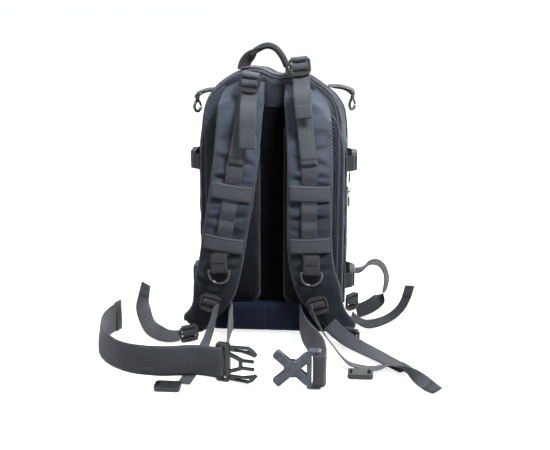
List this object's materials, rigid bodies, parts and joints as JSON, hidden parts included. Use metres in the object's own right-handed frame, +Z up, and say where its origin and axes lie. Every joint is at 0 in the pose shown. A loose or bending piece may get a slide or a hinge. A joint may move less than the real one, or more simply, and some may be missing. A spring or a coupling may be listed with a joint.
{
  "type": "trauma backpack",
  "caption": "Padded clamshell medical backpack with contoured shoulder straps, hip belt, front pockets, webbing rows, plastic buckles and zips.",
  "frame": {"origin": "centre of the base, on the surface that the pack stands on", "axes": "+Z up, harness side faces -Y, clamshell lid faces +Y, +X to the right when looking at the harness"},
  "size_m": [0.5249, 0.4693, 0.4737],
  "materials": {
    "navy_nylon": "1000D woven nylon, matt",
    "pad_mesh": "air mesh over foam",
    "webbing_grey": "woven nylon webbing",
    "black_plastic": "moulded acetal, satin",
    "black_metal": "gloss black coated steel wire",
    "zip_tape": "coil zip on woven tape",
    "lining": "coated nylon lining",
    "stiff_sheet": "polyethylene sheet"
  },
  "bodies": {
    "pack": {"adjuster_tail_right": "webbing_grey", "back_pad_left": "pad_mesh", "back_pad_right": "pad_mesh", "base_panel": "navy_nylon", "compression_clips": "black_plastic", "compression_straps": "webbing_grey", "compression_tail_right": "webbing_grey", "daisy_webbing": "webbing_grey", "elastic_loops": "webbing_grey", "frame_sheet": "stiff_sheet", "handle_strip": "webbing_grey", "hip_belt_left": "webbing_grey", "hip_belt_right": "webbing_grey", "hip_clip_fork": "black_plastic", "hip_clip_socket": "black_plastic", "hook_tabs": "webbing_grey", "ladder_locks": "black_plastic", "load_lifter_left": "webbing_grey", "load_lifter_right": "webbing_grey", "lower_strap_left": "webbing_grey", "lower_strap_right": "webbing_grey", "lumbar_panel": "navy_nylon", "main_shell": "navy_nylon", "padded_divider": "lining", "ring_loops": "webbing_grey", "shoulder_strap_left": "navy_nylon", "shoulder_strap_right": "navy_nylon", "shoulder_yoke": "navy_nylon", "side_webbing": "webbing_grey", "spine_mesh": "pad_mesh", "sternum_clip_left": "black_plastic", "sternum_clip_right": "black_plastic", "sternum_strap_left": "webbing_grey", "sternum_strap_right": "webbing_grey", "sternum_tail_right": "webbing_grey", "strap_bars": "webbing_grey", "strap_end_tabs": "webbing_grey", "zip_tape_rear": "zip_tape"},
    "lid": {"lid_shell": "navy_nylon", "zip_tape_lid": "zip_tape", "lid_mesh_pocket": "pad_mesh", "front_pocket_lower": "navy_nylon", "front_pocket_upper": "navy_nylon", "front_molle": "webbing_grey", "pocket_zip_tape": "zip_tape"},
    "handle": {"haul_handle": "webbing_grey"},
    "ring_left": {"d_ring_left": "black_metal"},
    "ring_right": {"d_ring_right": "black_metal"},
    "hook_left": {"snap_hook_left": "black_plastic"},
    "hook_right": {"snap_hook_right": "black_plastic"},
    "gate_left": {"hook_gate_left": "black_plastic"},
    "gate_right": {"hook_gate_right": "black_plastic"},
    "slider_lower": {"main_slider_lower": "black_metal"},
    "slider_upper": {"main_slider_upper": "black_metal"},
    "slider_pocket": {"pocket_slider": "black_metal"},
    "pull_lower": {"main_pull_lower": "black_plastic"},
    "pull_upper": {"main_pull_upper": "black_plastic"},
    "pull_pocket": {"pocket_pull": "black_plastic"},
    "latch_upper": {"hip_latch_upper": "black_plastic"},
    "latch_lower": {"hip_latch_lower": "black_plastic"}
  },
  "joints": [
    {"name": "lid_open", "type": "hinge", "parent": "pack", "child": "lid", "pos_m": [0, 0.0353, 0.003], "axis": [-1, 0, 0], "range_deg": [0, 150]},
    {"name": "handle_fold", "type": "hinge", "parent": "pack", "child": "handle", "pos_m": [-0.008, -0.066, 0.444], "axis": [1, 0, 0], "range_deg": [-26, 26]},
    {"name": "ring_left_swing", "type": "hinge", "parent": "pack", "child": "ring_left", "pos_m": [-0.08038, -0.1395, 0.122], "axis": [-1, 0, 0], "range_deg": [0, 130]},
    {"name": "ring_right_swing", "type": "hinge", "parent": "pack", "child": "ring_right", "pos_m": [0.067, -0.1395, 0.122], "axis": [-1, 0, 0], "range_deg": [0, 130]},
    {"name": "hook_left_swing", "type": "hinge", "parent": "pack", "child": "hook_left", "pos_m": [-0.126, -0.03, 0.388], "axis": [0, 1, 0], "range_deg": [0, 80]},
    {"name": "gate_left_press", "type": "hinge", "parent": "hook_left", "child": "gate_left", "pos_m": [-0.12375, -0.0261, 0.37521], "axis": [-0.866, 0.5, 0], "range_deg": [0, 25], "stiffness_Nm_per_rad": 0.01},
    {"name": "hook_right_swing", "type": "hinge", "parent": "pack", "child": "hook_right", "pos_m": [0.126, -0.03, 0.394], "axis": [0, -1, 0], "range_deg": [0, 80]},
    {"name": "gate_right_press", "type": "hinge", "parent": "hook_right", "child": "gate_right", "pos_m": [0.12825, -0.0261, 0.38121], "axis": [-0.866, 0.5, 0], "range_deg": [0, 25], "stiffness_Nm_per_rad": 0.01},
    {"name": "slider_lower_run", "type": "slide", "parent": "pack", "child": "slider_lower", "axis": [0, 0, 1], "range_m": [-0.17, 0]},
    {"name": "slider_upper_run", "type": "slide", "parent": "pack", "child": "slider_upper", "axis": [0, 0, 1], "range_m": [0, 0.085]},
    {"name": "slider_pocket_run", "type": "slide", "parent": "lid", "child": "slider_pocket", "axis": [1, 0, 0], "range_m": [-0.104, 0]},
    {"name": "pull_lower_swing", "type": "hinge", "parent": "slider_lower", "child": "pull_lower", "pos_m": [0.1234, 0.0353, 0.216], "axis": [0, -1, 0], "range_deg": [0, 150]},
    {"name": "pull_upper_swing", "type": "hinge", "parent": "slider_upper", "child": "pull_upper", "pos_m": [0.1234, 0.0353, 0.259], "axis": [0, -1, 0], "range_deg": [0, 150]},
    {"name": "pull_pocket_swing", "type": "hinge", "parent": "slider_pocket", "child": "pull_pocket", "pos_m": [0.052, 0.1253, 0.332], "axis": [1, 0, 0], "range_deg": [0, 150]},
    {"name": "latch_upper_press", "type": "hinge", "parent": "pack", "child": "latch_upper", "pos_m": [-0.04524, -0.29618, 0.0555], "axis": [0.2419, 0.9703, 0], "range_deg": [0, 5], "stiffness_Nm_per_rad": 0.3},
    {"name": "latch_lower_press", "type": "hinge", "parent": "pack", "child": "latch_lower", "pos_m": [-0.04524, -0.29618, 0.0075], "axis": [-0.2419, -0.9703, 0], "range_deg": [0, 5], "stiffness_Nm_per_rad": 0.3}
  ]
}
